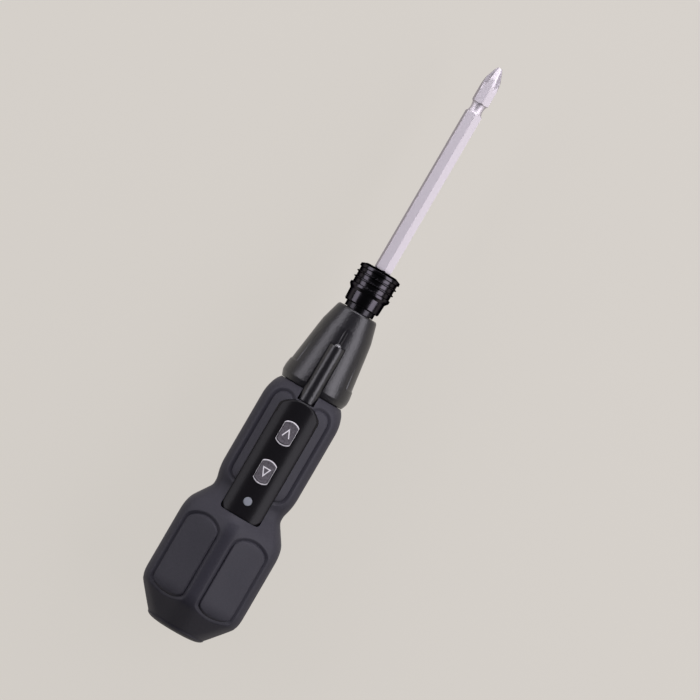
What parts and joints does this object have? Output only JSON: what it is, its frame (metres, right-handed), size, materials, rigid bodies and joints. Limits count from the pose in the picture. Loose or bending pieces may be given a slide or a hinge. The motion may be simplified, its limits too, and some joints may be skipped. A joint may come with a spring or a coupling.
{
  "type": "electric screwdriver",
  "caption": "Straight-handled electric screwdriver: hexagonal grip with outlined pads, button panel, light on the nose, ringed bit chuck and double-ended cross bit.",
  "frame": {"origin": "middle of the charging port's mouth in the butt, on the spindle's axis", "axes": "+X along the spindle from the butt to the bit's tip, +Z out of the button side, +Y to the left"},
  "size_m": [0.25, 0.0422, 0.0462],
  "materials": {
    "upper_shell": "soft matte moulded grip",
    "lower_shell": "soft matte moulded grip",
    "nose_cone": "satin moulded",
    "rear_cap": "soft matte moulded grip",
    "button_panel": "polished black",
    "button_bezels": "pale moulded rim",
    "indicator_pipe": "milky light pipe",
    "work_light": "clear lens",
    "main_board": "board laminate",
    "switch_bases": "moulded",
    "charge_board": "board laminate",
    "usb_socket": "drawn shell",
    "battery_cell": null,
    "battery_tabs": "nickel strip",
    "housing_screws": "ground steel",
    "motor_can": "ground steel",
    "motor_end_bell": "moulded end bell",
    "motor_bushes": "sintered bronze",
    "motor_magnets": "ferrite",
    "motor_brushes": "carbon",
    "motor_plate": "ground steel",
    "motor_screws": "ground steel",
    "ring_gear": "ground steel",
    "spindle_bush": "sintered bronze",
    "motor_shaft": "ground steel",
    "commutator": "copper",
    "rotor_core": "ground steel",
    "rotor_windings": "copper",
    "motor_pinion": "sintered bronze",
    "first_carrier": "ground steel",
    "first_pins": "ground steel",
    "spindle": "ground steel",
    "second_carrier": "ground steel",
    "second_pins": "ground steel",
    "spindle_clip": "ground steel",
    "socket_magnet": "plated magnet",
    "sleeve_spring": "ground steel",
    "sleeve_ring": "ground steel",
    "release_sleeve": "black oxide",
    "lock_ball_a": "ground steel",
    "lock_ball_b": "ground steel",
    "screwdriver_bit": "satin plated steel",
    "forward_button": "satin moulded",
    "forward_plunger": "moulded",
    "reverse_button": "satin moulded",
    "reverse_plunger": "moulded",
    "first_planet_a": "sintered gear",
    "first_planet_b": "sintered gear",
    "first_planet_c": "sintered gear",
    "second_planet_a": "sintered gear",
    "second_planet_b": "sintered gear",
    "second_planet_c": "sintered gear"
  },
  "bodies": {
    "handle": {"upper_shell": "upper_shell", "lower_shell": "lower_shell", "nose_cone": "nose_cone", "rear_cap": "rear_cap", "button_panel": "button_panel", "button_bezels": "button_bezels", "indicator_pipe": "indicator_pipe", "work_light": "work_light", "main_board": "main_board", "switch_bases": "switch_bases", "charge_board": "charge_board", "usb_socket": "usb_socket", "battery_cell": "battery_cell", "battery_tabs": "battery_tabs", "housing_screws": "housing_screws", "motor_can": "motor_can", "motor_end_bell": "motor_end_bell", "motor_bushes": "motor_bushes", "motor_magnets": "motor_magnets", "motor_brushes": "motor_brushes", "motor_plate": "motor_plate", "motor_screws": "motor_screws", "ring_gear": "ring_gear", "spindle_bush": "spindle_bush"},
    "armature": {"motor_shaft": "motor_shaft", "commutator": "commutator", "rotor_core": "rotor_core", "rotor_windings": "rotor_windings", "motor_pinion": "motor_pinion"},
    "first_carrier": {"first_carrier": "first_carrier", "first_pins": "first_pins"},
    "spindle": {"spindle": "spindle", "second_carrier": "second_carrier", "second_pins": "second_pins", "spindle_clip": "spindle_clip", "socket_magnet": "socket_magnet", "sleeve_spring": "sleeve_spring", "sleeve_ring": "sleeve_ring"},
    "sleeve": {"release_sleeve": "release_sleeve"},
    "ball_a": {"lock_ball_a": "lock_ball_a"},
    "ball_b": {"lock_ball_b": "lock_ball_b"},
    "bit": {"screwdriver_bit": "screwdriver_bit"},
    "forward_button": {"forward_button": "forward_button", "forward_plunger": "forward_plunger"},
    "reverse_button": {"reverse_button": "reverse_button", "reverse_plunger": "reverse_plunger"},
    "first_planet_a": {"first_planet_a": "first_planet_a"},
    "first_planet_b": {"first_planet_b": "first_planet_b"},
    "first_planet_c": {"first_planet_c": "first_planet_c"},
    "second_planet_a": {"second_planet_a": "second_planet_a"},
    "second_planet_b": {"second_planet_b": "second_planet_b"},
    "second_planet_c": {"second_planet_c": "second_planet_c"}
  },
  "joints": [
    {"name": "spindle_spin", "type": "hinge", "parent": "handle", "child": "spindle", "pos_m": [0.13, 0, 0], "axis": [1, 0, 0], "continuous": true},
    {"name": "first_carrier_spin", "type": "hinge", "parent": "handle", "child": "first_carrier", "pos_m": [0.11, 0, 0], "axis": [1, 0, 0], "continuous": true},
    {"name": "armature_spin", "type": "hinge", "parent": "handle", "child": "armature", "pos_m": [0.09, 0, 0], "axis": [1, 0, 0], "continuous": true},
    {"name": "second_planet_a_spin", "type": "hinge", "parent": "spindle", "child": "second_planet_a", "pos_m": [0.1142, 0.00525, 0], "axis": [1, 0, 0], "continuous": true},
    {"name": "second_planet_b_spin", "type": "hinge", "parent": "spindle", "child": "second_planet_b", "pos_m": [0.1142, -0.00263, 0.00455], "axis": [1, 0, 0], "continuous": true},
    {"name": "second_planet_c_spin", "type": "hinge", "parent": "spindle", "child": "second_planet_c", "pos_m": [0.1142, -0.00263, -0.00455], "axis": [1, 0, 0], "continuous": true},
    {"name": "first_planet_a_spin", "type": "hinge", "parent": "first_carrier", "child": "first_planet_a", "pos_m": [0.1073, 0.00525, 0], "axis": [1, 0, 0], "continuous": true},
    {"name": "first_planet_b_spin", "type": "hinge", "parent": "first_carrier", "child": "first_planet_b", "pos_m": [0.1073, -0.00263, 0.00455], "axis": [1, 0, 0], "continuous": true},
    {"name": "first_planet_c_spin", "type": "hinge", "parent": "first_carrier", "child": "first_planet_c", "pos_m": [0.1073, -0.00263, -0.00455], "axis": [1, 0, 0], "continuous": true},
    {"name": "sleeve_push", "type": "slide", "parent": "spindle", "child": "sleeve", "axis": [-1, 0, 0], "range_m": [0, 0.0018], "stiffness_N_per_m": 1500, "springref_m": -0.0015, "deforming": ["sleeve_spring"]},
    {"name": "ball_a_release", "type": "slide", "parent": "spindle", "child": "ball_a", "axis": [0, 0.2974, 0.9548], "range_m": [0, 0.0004]},
    {"name": "ball_b_release", "type": "slide", "parent": "spindle", "child": "ball_b", "axis": [0, -0.2974, -0.9548], "range_m": [0, 0.0004]},
    {"name": "bit_pull", "type": "slide", "parent": "spindle", "child": "bit", "axis": [1, 0, 0], "range_m": [0, 0.022]},
    {"name": "forward_press", "type": "slide", "parent": "handle", "child": "forward_button", "axis": [0, 0, -1], "range_m": [0, 0.0005], "stiffness_N_per_m": 800, "springref_m": -0.0005},
    {"name": "reverse_press", "type": "slide", "parent": "handle", "child": "reverse_button", "axis": [0, 0, -1], "range_m": [0, 0.0005], "stiffness_N_per_m": 800, "springref_m": -0.0005}
  ],
  "couplings": [
    {"joint": "first_carrier_spin", "follows": "armature_spin", "ratio": 0.21429},
    {"joint": "spindle_spin", "follows": "armature_spin", "ratio": 0.045918},
    {"joint": "second_planet_a_spin", "follows": "armature_spin", "ratio": -0.12628},
    {"joint": "second_planet_b_spin", "follows": "armature_spin", "ratio": -0.12628},
    {"joint": "second_planet_c_spin", "follows": "armature_spin", "ratio": -0.12628},
    {"joint": "first_planet_a_spin", "follows": "armature_spin", "ratio": -0.58929},
    {"joint": "first_planet_b_spin", "follows": "armature_spin", "ratio": -0.58929},
    {"joint": "first_planet_c_spin", "follows": "armature_spin", "ratio": -0.58929},
    {"joint": "ball_a_release", "follows": "sleeve_push", "ratio": 0.22222},
    {"joint": "ball_b_release", "follows": "sleeve_push", "ratio": 0.22222}
  ]
}
